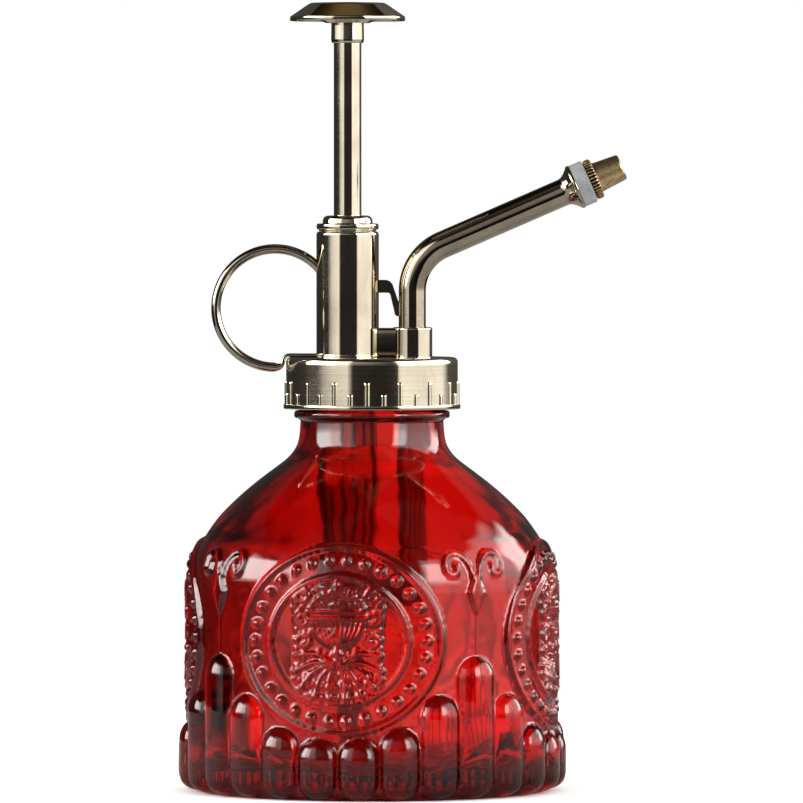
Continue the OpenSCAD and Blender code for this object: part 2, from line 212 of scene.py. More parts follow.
def helix_ridge(root, crest, turns, start_angle):
    """A helical thread ridge of rounded trapezoid section, running out at both ends."""
    steps, run_out = int(72 * turns), 14
    side = 0.25 if crest > root else -0.25
    verts = []
    for i in range(steps + 1):
        a = start_angle + 2 * math.pi * turns * i / steps
        fade = max(0.05, min(1, i / run_out, (steps - i) / run_out))
        out, base = root + (crest - root) * fade, THREAD_Z + PITCH * turns * i / steps
        tip = root + (crest - root) * fade * 0.86
        for r, z in ((root - side, 0), (tip, 0.2), (out, 0.36), (out, THREAD_H - 0.36),
                     (tip, THREAD_H - 0.2), (root - side, THREAD_H)):
            verts.append([r * math.cos(a), r * math.sin(a), base + z])
    return np.array(verts), skin(steps + 1, 6)


def join(*shapes):
    """Several (vertices, faces) shapes as one."""
    verts, faces, count = [], [], 0
    for v, f in shapes:
        verts.append(v)
        faces += [[i + count for i in face] for face in f]
        count += len(v)
    return np.vstack(verts), faces


def mesh(name, shape, outwards=True):
    """A mesh from (vertices in mm, faces), with its faces turned outwards where that is needed."""
    verts, faces = shape
    data = bpy.data.meshes.new(name)
    data.from_pydata((verts * MM).tolist(), [], faces)
    if outwards:
        bm = bmesh.new()
        bm.from_mesh(data)
        bmesh.ops.recalc_face_normals(bm, faces=bm.faces)
        bm.to_mesh(data)
        bm.free()
    return data


def smooth(data, sharp_deg=38):
    """Shades a mesh smoothly, except across edges sharper than an angle."""
    data.polygons.foreach_set("use_smooth", [True] * len(data.polygons))
    data.set_sharp_from_angle(angle=math.radians(sharp_deg))


def piece(name, body, material, shape, node, sharp_deg=38, outwards=True):
    """Makes a visual piece that rides on a body and stands for a CAD node."""
    data = mesh(name, shape, outwards)
    smooth(data, sharp_deg)
    data.materials.append(material)
    obj = bpy.data.objects.new(name, data)
    scene.collection.objects.link(obj)
    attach(obj, body)
    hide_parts(node)
    return obj


def mark(obj, name, values):
    """Stores one number per vertex for the material to read."""
    obj.data.attributes.new(name, "FLOAT", "POINT").data.foreach_set("value", values)


def cut(obj, shapes):
    """Cuts closed shapes out of a piece."""
    for i, shape in enumerate(shapes):
        cutter = bpy.data.objects.new(f"cutter_{i}", mesh(f"cutter_{i}", shape))
        scene.collection.objects.link(cutter)
        modifier = obj.modifiers.new("cut", "BOOLEAN")
        modifier.operation, modifier.object, modifier.solver = "DIFFERENCE", cutter, "EXACT"
        bpy.context.view_layer.update()
        evaluated = obj.evaluated_get(bpy.context.evaluated_depsgraph_get())
        result = bpy.data.meshes.new_from_object(evaluated)
        obj.modifiers.clear()
        obj.data = result
        bpy.data.objects.remove(cutter)
        smooth(obj.data)


# ---------------------------------------------------------------- materials


class Nodes:
    """A node tree, with short names for the nodes it needs. A value is an output or a constant."""

    def __init__(self, tree):
        self.tree, self.new = tree, tree.nodes.new

    def feed(self, node, socket, value):
        """Links an output to a node's input, or sets the input to a constant."""
        if isinstance(value, bpy.types.NodeSocket):
            self.tree.links.new(value, node.inputs[socket])
        else:
            node.inputs[socket].default_value = value

    def maths(self, operation, a, b=0.0):
        node = self.new("ShaderNodeMath")
        node.operation = operation
        self.feed(node, 0, a)
        self.feed(node, 1, b)
        return node.outputs[0]

    def mix(self, blend, a, b, factor=1.0):
        node = self.new("ShaderNodeMix")
        node.data_type, node.blend_type = "RGBA", blend
        for socket, value in (("Factor", factor), (6, a), (7, b)):
            self.feed(node, socket, value)
        return node.outputs[2]

    def colours(self, value, stops):
        node = self.new("ShaderNodeValToRGB")
        elements = node.color_ramp.elements
        while len(elements) < len(stops):
            elements.new(0.5)
        for element, (place, colour) in zip(elements, stops):
            element.position, element.color = place, (*colour, 1.0)
        self.feed(node, "Fac", value)
        return node.outputs["Color"]


class Look(Nodes):
    """A material, with textures that follow the piece's own coordinates."""

    def __init__(self, name):
        self.material = bpy.data.materials.new(name)
        self.material.use_nodes = True
        super().__init__(self.material.node_tree)
        self.shader = self.tree.nodes["Principled BSDF"]
        self.output = self.tree.nodes["Material Output"]
        self.coords = self.new("ShaderNodeTexCoord").outputs["Object"]

    def set(self, **sockets):
        """Feeds the shader's sockets. Underscores in a name stand for spaces."""
        for name, value in sockets.items():
            self.feed(self.shader, name.replace("_", " "), value)
        return self

    def stretch(self, scale):
        node = self.new("ShaderNodeMapping")
        self.feed(node, "Scale", scale)
        self.feed(node, "Vector", self.coords)
        return node.outputs["Vector"]

    def noise(self, scale, detail=3.0, roughness=0.55, stretch=None, distortion=0.0):
        node = self.new("ShaderNodeTexNoise")
        for socket, value in (("Scale", scale), ("Detail", detail), ("Roughness", roughness),
                              ("Distortion", distortion)):
            self.feed(node, socket, value)
        self.feed(node, "Vector", self.stretch(stretch) if stretch else self.coords)
        return node.outputs["Fac"]

    def cells(self, scale):
        node = self.new("ShaderNodeTexVoronoi")
        self.feed(node, "Scale", scale)
        self.feed(node, "Vector", self.coords)
        return node.outputs["Distance"]

    def attribute(self, name):
        node = self.new("ShaderNodeAttribute")
        node.attribute_name = name
        return node.outputs["Fac"]

    def position(self, axis):
        node = self.new("ShaderNodeSeparateXYZ")
        self.feed(node, 0, self.coords)
        return node.outputs[axis]

    def span(self, value, low, high, to_low, to_high):
        """Maps low..high to to_low..to_high, and holds the value there beyond both ends."""
        node = self.new("ShaderNodeMapRange")
        for i, v in enumerate((value, low, high, to_low, to_high)):
            self.feed(node, i, v)
        return node.outputs[0]

    def bump(self, height, distance_mm, strength=1.0, under=None):
        """A bump, on top of another one if under is given."""
        node = self.new("ShaderNodeBump")
        self.feed(node, "Strength", strength)
        self.feed(node, "Distance", distance_mm * MM)
        self.feed(node, "Height", height)
        if under is not None:
            self.feed(node, "Normal", under)
        return node.outputs["Normal"]


def ruby_glass():
    """Ruby glass, coloured by its depth. An attribute marks its hazier, rippled inner surface."""
    look = Look("ruby_glass").set(Transmission_Weight=1.0, IOR=1.5, Specular_IOR_Level=0.62)
    inner = look.attribute("inner_surface")
    ripple = look.maths("MULTIPLY", look.noise(75, 1.5), look.span(inner, 0, 1, 0.1, 1.0))
    look.set(
        Base_Color=look.colours(look.noise(28, 2),
                                [(0.3, (1.0, 0.56, 0.50)), (0.7, (1.0, 0.64, 0.57))]),
        Roughness=look.maths("MULTIPLY", look.span(inner, 0, 1, 0.008, 0.12),
                             look.span(look.noise(60, 3), 0.3, 0.7, 0.8, 1.2)),
        Normal=look.bump(look.noise(420, 2, 0.4), 0.004, under=look.bump(ripple, 0.75)),
    )
    absorb = look.new("ShaderNodeVolumeAbsorption")
    look.feed(absorb, "Color", (0.968, 0.16, 0.12, 1.0))
    look.feed(absorb, "Density", 560.0)
    look.feed(look.output, "Volume", absorb.outputs["Volume"])
    return look.material


def plated(name, light, dark, rough=(0.035, 0.11), brush=None, brush_mm=0.0012):
    """Bright bronze-nickel plate: faint tarnish, drawn lines along brush, and a few pits."""
    look = Look(name).set(Metallic=1.0, IOR=2.2)
    patches = look.noise(70, 5, 0.6, distortion=0.6)
    lines = look.noise(1.0, 5, 0.7, stretch=brush or (2600, 2600, 60))
    pits = look.span(look.cells(820), 0.05, 0.16, 0.0, 1.0)
    wear = look.maths("MULTIPLY", patches, lines)
    look.set(
        Base_Color=look.colours(look.maths("ADD", wear, look.maths("MULTIPLY", patches, 0.45)),
                                [(0.28, dark), (0.62, light)]),
        Roughness=look.maths("ADD", look.span(wear, 0.12, 0.5, *rough),
                             look.span(look.noise(1500, 2), 0.62, 0.8, 0.0, 0.05)),
        Normal=look.bump(lines, brush_mm, under=look.bump(pits, 0.004, 0.5)),
    )
    return look.material


def bare_brass():
    """Turned brass, stained, and darker in the knurl's valleys, where an attribute marks them."""
    look = Look("bare_brass").set(Metallic=1.0)
    rings = look.noise(1.0, 4, 0.7, stretch=(3200, 500, 3200))
    # the knurl's valleys, marked by an attribute, are drawn darker
    grime = look.attribute("grime")
    stain_and_valleys = look.maths("SUBTRACT", look.noise(420, 5, 0.65, distortion=1.0), grime)
    look.set(
        Base_Color=look.colours(stain_and_valleys, [(0.0, (0.012, 0.008, 0.005)), (0.30, (0.25, 0.15, 0.07)),
                                        (0.48, (0.60, 0.43, 0.23)), (0.70, (0.82, 0.62, 0.36))]),
        Roughness=look.span(stain_and_valleys, 0.3, 0.7, 0.42, 0.24),
        Normal=look.bump(rings, 0.02),
    )
    return look.material


def nylon():
    """Greyish white moulded nylon."""
    look = Look("white_nylon").set(IOR=1.53, Specular_IOR_Level=0.25)
    clouds = look.noise(240, 4)
    look.set(
        Base_Color=look.colours(clouds,
                                [(0.3, (0.135, 0.14, 0.145)), (0.7, (0.205, 0.21, 0.215))]),
        Roughness=look.span(clouds, 0.3, 0.7, 0.34, 0.48),
        Normal=look.bump(look.noise(1600, 3), 0.015),
    )
    return look.material


def rubber():
    """Matt black rubber."""
    look = Look("black_rubber").set(IOR=1.5)
    grain = look.noise(2200, 4)
    look.set(
        Base_Color=look.colours(grain,
                                [(0.3, (0.012, 0.012, 0.013)), (0.7, (0.04, 0.04, 0.042))]),
        Roughness=look.span(grain, 0.3, 0.7, 0.55, 0.75),
        Normal=look.bump(grain, 0.02),
    )
    return look.material


def steel(name, rough, stretch):
    """Plain steel with a roughness range and the scale of its grain along x, y and z."""
    look = Look(name).set(Metallic=1.0)
    grain = look.noise(1.0, 4, 0.6, stretch=stretch)
    look.set(
        Base_Color=look.colours(grain, [(0.3, (0.50, 0.51, 0.53)), (0.7, (0.72, 0.73, 0.76))]),
        Roughness=look.span(grain, 0.3, 0.7, *rough),
        Normal=look.bump(grain, 0.004),
    )
    return look.material


def floor_paper():
    """Pale paper, with painted shade where metal mirrors it or glass shows it, and a painted shadow
    behind on the left.
    """
    painted_shade_in_metal, painted_shade_in_glass, painted_shadow_at_left = 0.66, 0.36, 0.5
    look = Look("pale_floor")
    grain = look.noise(260, 4)
    path = look.new("ShaderNodeLightPath").outputs
    mirrored = look.maths("MULTIPLY", path["Is Glossy Ray"],
                          look.maths("SUBTRACT", 1.0, path["Is Transmission Ray"]))
    # painted shadow: the floor behind the bottle's left side is drawn darker for rays that come
    # through the glass
    left = look.maths("MULTIPLY", look.span(look.position("X"), -0.06, 0.01, painted_shadow_at_left, 0.0),
                      look.span(look.position("Y"), -0.02, 0.01, 0.0, 1.0))
    behind_glass = look.maths("MULTIPLY", path["Is Transmission Ray"],
                              look.maths("ADD", left, painted_shade_in_glass))
    # painted shade: the floor is drawn darker where metal mirrors it and where glass shows it
    dimmer = look.maths("ADD", look.maths("MULTIPLY", mirrored, painted_shade_in_metal), behind_glass)
    tone = look.maths("SUBTRACT", look.span(grain, 0.3, 0.7, 0.88, 0.90), dimmer)
    look.set(Base_Color=tone, Roughness=look.span(grain, 0.3, 0.7, 0.75, 0.85),
             Normal=look.bump(grain, 0.02))
    return look.material


LIGHT, DARK = (0.72, 0.645, 0.52), (0.50, 0.43, 0.33)
GLASS = ruby_glass()
PLATE = plated("plated_metal", LIGHT, DARK)
# painted shade: the spout has the same plating as the rest, in darker colours that stand in for the
# shade on it
SHADED_PLATE_ALONG_X = plated("plated_spout_painted_shade", (0.52, 0.45, 0.345), (0.32, 0.265, 0.20),
                       brush=(60, 2600, 2600))
# painted shade: the ring has the same plating as the rest, in darker colours that stand in for the
# shade on it
SHADED_PLATE_RING = plated("plated_ring_painted_shade", (0.50, 0.44, 0.35), (0.30, 0.26, 0.20))
PLATE_DULL = plated("plated_inside", (0.60, 0.52, 0.41), (0.30, 0.25, 0.19), (0.05, 0.13))
PLATE_CAP = plated("plated_cap", LIGHT, DARK, (0.08, 0.15), (25, 25, 4200), 0.0022)
BRASS, NYLON, RUBBER = bare_brass(), nylon(), rubber()
SPRING = steel("spring_steel", (0.22, 0.34), (2400, 2400, 2400))
BALL = steel("ball_steel", (0.05, 0.12), (900, 900, 900))


# ---------------------------------------------------------------- the bottle

WALL_R, LARGEST_R = 38.15, 40.75  # the body's wall, and a limit that keeps relief inside the CAD
RELIEF_R = 38.2  # the radius that turns angles into the relief's millimetres
HALF = math.pi / 4  # half of the relief's repeat, from a medallion's middle to a scroll's
FLUTES, FLUTE_W, FLUTE_H, FLUTE_FOOT = 28, 4.2, 2.6, 4.5
FLUTE_TOPS = (29.5, 21.6, 14.9, 12.9)  # from the one between two medallions to the one below one
MEDAL_Z, MEDAL_R, MEDAL_HALF_W, MEDAL_HALF_H = 33.0, 20, 20.6, 19.3  # a slight oval
INNER_RING_R, CREST_R = 13.85, 13.2  # measured where MEDAL_R is the medallion's edge
BEADS, BEADS_HALF_W, BEADS_HALF_H = 30, 17.85, 16.7
NECK_R, RIM_Z, BORE_R = 14.9, 88.5, 12.4
INSIDE_R, INSIDE_FLOOR, FLOOR_DIP = 35.5, 6.45, 1.7


def line_distance(u, v, points):
    """Distance from each (u, v) to a polyline."""
    best = np.full(u.shape, 1e9)
    for (ax, ay), (bx, by) in zip(points, points[1:]):
        dx, dy = bx - ax, by - ay
        t = np.clip(((u - ax) * dx + (v - ay) * dy) / (dx * dx + dy * dy + 1e-12), 0, 1)
        best = np.minimum(best, np.hypot(u - ax - t * dx, v - ay - t * dy))
    return best


def ridge(distance, half_width, height, power=0.6):
    """Height of a rounded ridge at a distance from its middle."""
    return height * np.clip(1 - (distance / half_width) ** 2, 0, None) ** power


def curve(points, n=10):
    """A smooth curve through points."""
    p = np.array([points[0], *points, points[-1]], float)
    out = []
    for i in range(1, len(p) - 2):
        for t in np.arange(n) / n:
            a, b, c, d = p[i - 1 : i + 3]
            out.append(tuple(0.5 * (2 * b + (c - a) * t + (2 * a - 5 * b + 4 * c - d) * t * t
                                    + (3 * b - a - 3 * c + d) * t ** 3)))
    return [*out, tuple(p[-1])]


def spiral(centre, radius, start_deg, turns, hand, inner=0.28):
    """A spiral from its outer end inwards, to a share of its radius."""
    out, steps = [], int(22 * turns)
    for k in range(steps + 1):
        f = k / steps
        a = math.radians(start_deg) + hand * 2 * math.pi * turns * f
        r = radius * (1 - f * (1 - inner))
        out.append((centre[0] + r * math.cos(a), centre[1] + r * math.sin(a)))
    return out


def crest(u, v):
    """Right half of a medallion's relief: an urn under an arch of berries, scrolls and leaves."""
    h = np.zeros(u.shape)

    def line(points, half_width, height, power=0.6):
        np.maximum(h, ridge(line_distance(u, v, points), half_width, height, power), out=h)

    def dot(cu, cv, radius, height):
        np.maximum(h, ridge(np.hypot(u - cu, v - cv), radius, height, 0.5), out=h)

    rng = np.random.default_rng(7)
    for _ in range(230):
        cu, cv = rng.uniform(0.2, 9.1), rng.uniform(-11.5, 11.6)
        size, height = rng.uniform(0.34, 0.62), rng.uniform(0.25, 0.52)
        if not (cu < 6.2 and -1.6 < cv < 7.2):
            dot(cu, cv, size, height)
    # urn
    line([(0, 4.7), (5.9, 4.7)], 0.46, 0.8)
    line([(0, 6.1), (4.6, 6.1), (5.3, 6.5)], 0.34, 0.5)
    for k in range(6):
        line(curve([(k * 1.03, 4.2), (k * 0.86, 1.8), (k * 0.42, -0.6)], 4), 0.32, 0.62)
    line(curve([(5.8, 4.4), (5.2, 2.4), (3.9, 0.6), (2.1, -0.8), (0, -1.3)], 4), 0.3, 0.5)
    line([(0, -1.4), (0, -3.6)], 0.7, 0.7)
    dot(0, -2.4, 1.15, 0.85)
    line([(0, -4.1), (2.8, -4.1)], 0.42, 0.7)
    # arch of berries with a bud on top
    for k in range(7):
        a = math.radians(12 + 13 * k)
        dot(5.6 * math.cos(a), 6.0 + 4.2 * math.sin(a), 0.66, 0.8)
    line([(0, 10.4), (0, 12.0)], 0.7, 0.8)
    line(curve([(0.3, 10.2), (1.6, 11.3), (2.7, 11.2)], 4), 0.4, 0.6)
    # scrolls at the sides
    line(spiral((7.4, 9.4), 2.0, -60, 1.6, 1), 0.42, 0.7)
    line(spiral((7.3, 4.6), 1.8, 70, 1.5, -1), 0.42, 0.65)
    line(curve([(8.9, 8.2), (9.2, 6.6), (8.6, 5.6)], 5), 0.4, 0.6)
    line(spiral((7.2, 0.2), 1.8, 100, 1.5, 1), 0.42, 0.65)
    line(curve([(5.6, 2.4), (5.6, 1.2), (5.9, -0.2)], 5), 0.38, 0.55)
    # leaves below
    for tip, bend in (((8.6, -3.0), (4.6, -2.6)), ((8.9, -6.2), (4.8, -4.4)),
                      ((7.4, -9.4), (4.6, -6.0)), ((4.6, -11.2), (3.4, -7.4)),
                      ((1.6, -11.8), (1.6, -8.0))):
        line(curve([(0.5, -4.6), bend, tip], 8), 0.44, 0.72)
        dot(*tip, 0.72, 0.8)
    for k in range(10):
        a = k / 9
        dot(8.8 * (1 - a), -7.6 - 1.8 * math.sin(math.pi / 2 * a), 0.55, 0.72)
    for k in range(8):
        dot(0.6 + 1.15 * k, -11.4 + 0.25 * (k % 2), 0.56, 0.6)
    inside = np.maximum(np.abs(u) - 9.3, np.abs(v) - 12.2)
    return np.where(inside < 0.4, h, 0) + 0.16 * np.clip(0.5 - inside / 0.5, 0, 1)


ORNAMENT = curve([(0.9, 46.2), (1.0, 47.6), (1.8, 49.2), (3.2, 50.5), (4.9, 50.9), (6.4, 50.3),
                  (7.1, 48.8), (6.8, 47.3), (5.8, 46.5), (4.8, 46.7), (4.3, 47.6), (4.5, 48.4)], 4)


def relief(angle, z):
    """Height of the relief in mm. angle is 0 at a medallion's middle and HALF at a scroll's."""
    u = RELIEF_R * np.sin(angle)
    rho = MEDAL_R * np.hypot(u / MEDAL_HALF_W, (z - MEDAL_Z) / MEDAL_HALF_H)
    field = np.clip((MEDAL_R + 0.2 - rho) / 0.5, 0, 1) * 0.35
    h = field + ridge(rho - MEDAL_R, 0.75, 0.72)
    h = np.maximum(h, field + ridge(rho - INNER_RING_R, 0.6, 0.55))
    beads = np.zeros(h.shape)
    for k in range(BEADS // 2 + 1):
        a = math.pi * (k + 0.5) / (BEADS // 2) - math.pi / 2
        bead = np.hypot(u - BEADS_HALF_W * math.cos(a), z - MEDAL_Z - BEADS_HALF_H * math.sin(a))
        beads = np.maximum(beads, ridge(bead, 1.02, 0.85, 0.5))
    h = np.maximum(h, field + beads)
    h = np.where(rho < CREST_R, field + crest(u, z - MEDAL_Z), h)
    # scroll and bud between two medallions
    w = RELIEF_R * (HALF - angle)
    h = np.maximum(h, ridge(line_distance(w, z, ORNAMENT), 0.62, 0.6))
    h = np.maximum(h, ridge(np.hypot(w - 4.5, z - 48.2), 0.8, 0.65, 0.5))
    swell = np.interp(z, [38.2, 39.6, 42.5, 44.6, 45.9, 46.6], [0, 0.8, 2.35, 1.5, 0.75, 0])
    bud = 0.9 * np.clip(1 - w / np.maximum(swell, 1e-3), 0, 1) ** 0.55
    h = np.maximum(h, np.where(swell > 0.05, np.minimum(bud, 0.62), 0))
    h = np.maximum(h, np.where((z > 29) & (z < 39), ridge(w, 0.22, 0.1), 0))
    # flutes
    pitch = 2 * math.pi / FLUTES
    for i, top in enumerate(FLUTE_TOPS):
        s = WALL_R * (HALF - angle - i * pitch)
        d = np.hypot(s, z - np.clip(z, FLUTE_FOOT, top - FLUTE_W))
        flute = ridge(d, FLUTE_W, FLUTE_H, 0.5)
        h = np.where(d < FLUTE_W, np.maximum(flute, h * 0.3), h)
    return h


def spaced(*runs):
    """Points from runs of (start, end, step)."""
    out = [runs[0][0]]
    for start, end, step in runs:
        n = max(1, round(abs(end - start) / step))
        out += [start + (end - start) * (k + 1) / n for k in range(n)]
    return np.array(out)


def bottle_shape():
    """The closed glass, and the range of vertices that lie on its inner surface.

    The relief zone is finely divided. The plainer zones have a quarter of its columns.
    """
    foot = 2.65
    base = [(35.5 + foot * math.sin(a), foot - foot * math.cos(a))
            for a in np.linspace(0, math.pi / 2, 9)]
    side = curve([(WALL_R, 43), (38.0, 45.9), (37.4, 48.6), (36.5, 50.6), (35.4, 52.5),
                  (33.9, 54.9), (31.6, 57.9), (28.5, 61.0), (25.2, 63.9), (22.0, 66.4),
                  (18.9, 68.7), (17.3, 70.1), (16.2, 71.5), (15.5, 73.0), (15.15, 75.0),
                  (15.0, 77.2)], 8)
    outline = np.array(base + [(WALL_R, z) for z in np.arange(4, 43, 1.0)] + side)
    length = np.concatenate([[0], np.cumsum(np.hypot(*np.diff(outline, axis=0).T))])
    marks = [float(np.interp(z, outline[:, 1], length)) for z in (4.5, 21.0, 44.8, 54.0)]
    rows = spaced(*zip([0.0, *marks], marks, (0.5, 0.55, 0.36, 0.48)))
    fine = np.stack([np.interp(rows, length, column) for column in outline.T], 1)
    slope = np.gradient(fine, axis=0)
    slope /= np.linalg.norm(slope, axis=1)[:, None]
    normal = np.stack([slope[:, 1], np.clip(-slope[:, 0], 0, None)], 1)
    normal /= np.linalg.norm(normal, axis=1)[:, None]

    arc = spaced((0, 9.6, 0.32), (9.6, 21.3, 0.43), (21.3, RELIEF_R * HALF, 0.52))
    half = arc / (RELIEF_R * HALF) * HALF
    while (len(half) - 1) % 4:
        half = np.append(half[:-1], [(half[-2] + half[-1]) / 2, half[-1]])
    grid = relief(*np.meshgrid(half, fine[:, 1]))
    # each quadrant is an eighth and its mirror image, and the quadrants start at a medallion
    quadrant = np.concatenate([half, 2 * HALF - half[-2:0:-1]])
    heights = np.concatenate([grid, grid[:, -2:0:-1]], 1)
    angles = np.concatenate([quadrant + k * 2 * HALF for k in range(4)]) + MEDALLION_AZ
    heights = np.concatenate([heights] * 4, 1)
    # slow ripples of pressed glass
    rng = np.random.default_rng(3)
    around, high = angles[None, :], fine[:, 1][:, None]
    for _ in range(9):
        k, m = rng.integers(2, 12), rng.uniform(0.05, 0.35)
        p, q = rng.uniform(0, 6.28), rng.uniform(0, 6.28)
        heights = heights + 0.012 * np.sin(k * around + p) * np.sin(m * high + q)
    radius = np.minimum(fine[:, 0][:, None] + heights * normal[:, 0][:, None], LARGEST_R)
    z = np.maximum(fine[:, 1][:, None] + heights * normal[:, 1][:, None], 0)
    cos, sin = np.cos(angles), np.sin(angles)
    verts = [np.stack([radius * cos, radius * sin, z * np.ones_like(radius)], -1).reshape(-1, 3)]
    n, rows_n = len(angles), len(rows)
    faces = skin(rows_n, n, False)
    count, coarse = rows_n * n, np.arange(0, n, 4)
    c_angles = angles[coarse]

    def ring(r, height, extra=0.0):
        nonlocal count
        r = r + extra
        verts.append(np.stack([r * np.cos(c_angles), r * np.sin(c_angles),
                               height + np.zeros(len(coarse))], 1))
        count += len(coarse)
        return list(range(count - len(coarse), count))

    def strip(a, b):
        for k in range(len(a)):
            m = (k + 1) % len(a)
            faces.append([a[k], a[m], b[m], b[k]])

    def seam(edge_row, ring_, flip):
        """Joins a fine row to a coarse ring with one face for every four fine edges."""
        for k in range(len(ring_)):
            m = (k + 1) % len(ring_)
            line = [edge_row * n + (4 * k + j) % n for j in range(5)]
            face = line + [ring_[m], ring_[k]]
            faces.append(face[::-1] if flip else face)

    # outside, upwards: shoulder, neck, bead, thread and rim
    top = [p for p in side if p[1] > 54.6][::2] + [(14.98, 77.6), (15.5, 78.0), (16.1, 78.15),
                                                  (16.3, 78.5), (16.3, 79.2), (16.05, 79.6),
                                                  (15.5, 79.7), (14.95, 79.9)]
    rings = [ring(r, z_) for r, z_ in top]
    thread_rise, thread_half, steepness = 1.05, 0.62, 1.9
    for z_ in spaced((80.2, 87.6, 0.27)):
        turn = (c_angles - MEDALLION_AZ) / (2 * math.pi)
        lift = np.zeros(len(coarse))
        for lap in range(-1, 3):
            along = turn + lap
            mid = THREAD_Z + PITCH * along + THREAD_H / 2
            fade = np.clip(np.minimum(along, THREAD_TURNS - along) * 6, 0, 1)
            flank = np.clip(steepness * (1 - np.abs(z_ - mid) / thread_half), 0, 1)
            lift = np.maximum(lift, thread_rise * fade * flank)
        rings.append(ring(NECK_R, z_, lift))
    for r, z_ in ((NECK_R, RIM_Z - 0.6), (14.75, 88.3), (14.4, RIM_Z), (12.9, RIM_Z), (12.5, 88.3),
                  (BORE_R, RIM_Z - 0.6)):
        rings.append(ring(r, z_))
    # inside, downwards, with the waves of a pressed wall and a dip in the floor under each flute
    inner = [(BORE_R, 82), (BORE_R, 76)]
    for (x, z_), r, angle_range in (((22.0, 75.0), 9.6, (180, 226.5, 7)),
                                    ((22.2, 43.13), 13.3, (46.5, 0, 9))):
        inner += [(x + r * math.cos(a), z_ + r * math.sin(a))
                  for a in np.radians(np.linspace(*angle_range))]
    inner += [(INSIDE_R, z_) for z_ in (38, 33, 28, 23, 18, 14)]
    heel_x, heel_z, heel_r = 29.5, 12, 6
    inner += [(heel_x + heel_r * math.cos(a), heel_z - heel_r * math.sin(a))
              for a in np.linspace(0.15, math.pi / 2, 7)]
    inner += [(22.0, 6.15), (13.0, 6.35), (5.0, INSIDE_FLOOR)]
    waves = [(rng.integers(2, 7), rng.uniform(0.06, 0.22), rng.uniform(0, 6.28),
              rng.uniform(0, 6.28)) for _ in range(6)]
    first_inner = count
    for r, z_ in inner:
        ripple = sum(0.09 * np.sin(k * c_angles + p) * math.sin(m * z_ + q)
                     for k, m, p, q in waves)
        dip = FLOOR_DIP * (0.5 + 0.5 * np.cos(FLUTES * (c_angles - MEDALLION_AZ - HALF))) ** 1.5
        dip = dip * np.interp(z_, [5.9, 6.2, 9.0, 14.0], [0, 1, 1, 0])
        dip = dip * np.interp(r, [20, 30], [0, 1])
        rings.append(ring(r, z_ - dip, ripple * (1.0 if r > 14 and z_ > 8 else 0.15)))
    seam(rows_n - 1, rings[0], False)
    for a, b in zip(rings[: -len(inner)], rings[1:]):
        strip(a, b)
    for a, b in zip(rings[-len(inner) :], rings[1 - len(inner) :]):
        strip(a, b)
    verts.append(np.array([[0, 0, INSIDE_FLOOR]]))
    faces.extend([rings[-1][k], rings[-1][(k + 1) % len(coarse)], count]
                 for k in range(len(coarse)))
    count += 1
    last_inner = count
    # underside, inwards from the standing ring
    under = [ring(r, z_) for r, z_ in ((34.2, 0.0), (30.0, 0.0), (28.6, 0.12), (27.8, 0.5),
                                       (27.0, 1.0), (25.5, 1.2), (14.0, 1.5))]
    seam(0, under[0], True)
    for a, b in zip(under, under[1:]):
        strip(b, a)
    verts.append(np.array([[0, 0, 1.55]]))
    faces.extend([under[-1][(k + 1) % len(coarse)], under[-1][k], count]
                 for k in range(len(coarse)))
    return (np.vstack(verts), faces), (first_inner, last_inner)


glass_shape, (first_inner, last_inner) = bottle_shape()
bottle = piece("bottle_glass", "bottle", GLASS, glass_shape, "bottle",
               sharp_deg=180, outwards=False)
mark(bottle, "inner_surface",
     [float(first_inner <= i < last_inner) for i in range(len(bottle.data.vertices))])


# ---------------------------------------------------------------- the cap


def cap_shape():
    """Skirt, flange and deck as one shell, with long and short grip ribs on the skirt."""
    ribs, short_top, long_top = 32, 83.32, 85.82
    pitch = 2 * math.pi / ribs
    offsets = np.array([-0.56, -0.47, -0.28, 0.0, 0.28, 0.47, 0.56]) / CAP_R
    angles, rib, long = [], [], []
    for i in range(ribs):
        centre = pitch * i - math.radians(93.1)
        angles += [*(centre + offsets), centre + pitch / 2]
        rib += [0, 0.19, 0.31, 0.37, 0.31, 0.19, 0, 0]
        long += [i % 2 == 0] * 8
    rib, long = np.array(rib), np.array(long)
    order = np.argsort(angles)
    angles, rib, long = np.array(angles)[order], rib[order], long[order]
    heights = (81.12, 82.0, 82.9, 83.08, 83.22, short_top, 84.2, 85.3, 85.58, 85.72, long_top,
               87.4, 89.2)
    profile = rounded([
        (CAP_IN, SKIRT_Z, 0.2), (18.55, SKIRT_Z, 0.25), (18.55, SKIRT_Z + 1.0, 0.22),
        (CAP_R, SKIRT_Z + 1.0), *((CAP_R, z) for z in heights), (CAP_R, DECK_Z, 0.95), (0, DECK_Z),
        (0, DECK_Z - DECK_T), (CAP_IN, DECK_Z - DECK_T, 0.3)], 4)
    ribbed = {i: p[1] for i, p in enumerate(profile) if abs(p[0] - CAP_R) < 1e-6 and p[1] < 86}

    def extra(i, _):
        if i not in ribbed:
            return np.zeros(len(angles))
        tops = np.where(long, long_top, short_top)
        return rib * np.clip((tops - ribbed[i]) / 0.24, 0, 1) ** 0.5

    return revolve(profile, upright(0), angles=angles, extra=extra)


cap = piece("screw_cap_shell", "head", PLATE_CAP,
            join(cap_shape(), helix_ridge(CAP_IN, CAP_CREST, THREAD_TURNS, math.pi)), "screw_cap",
            sharp_deg=30)
cut(cap, [revolve([(0, 85), (r, 85), (r, 95), (0, 95)], upright(x), segments, False)
          for r, x, segments in ((SLEEVE_IN, BARREL_X, 64), (2.2, RISER_X, 48))])


# ---------------------------------------------------------------- barrel, rod and button

def on_barrel(name, body, node, segments, closed, steps, points):
    """A plated piece turned round the barrel's axis, from an outline with rounded corners."""
    shape = revolve(rounded(points, steps), upright(BARREL_X), segments, closed)
    piece(name, body, PLATE, shape, node)


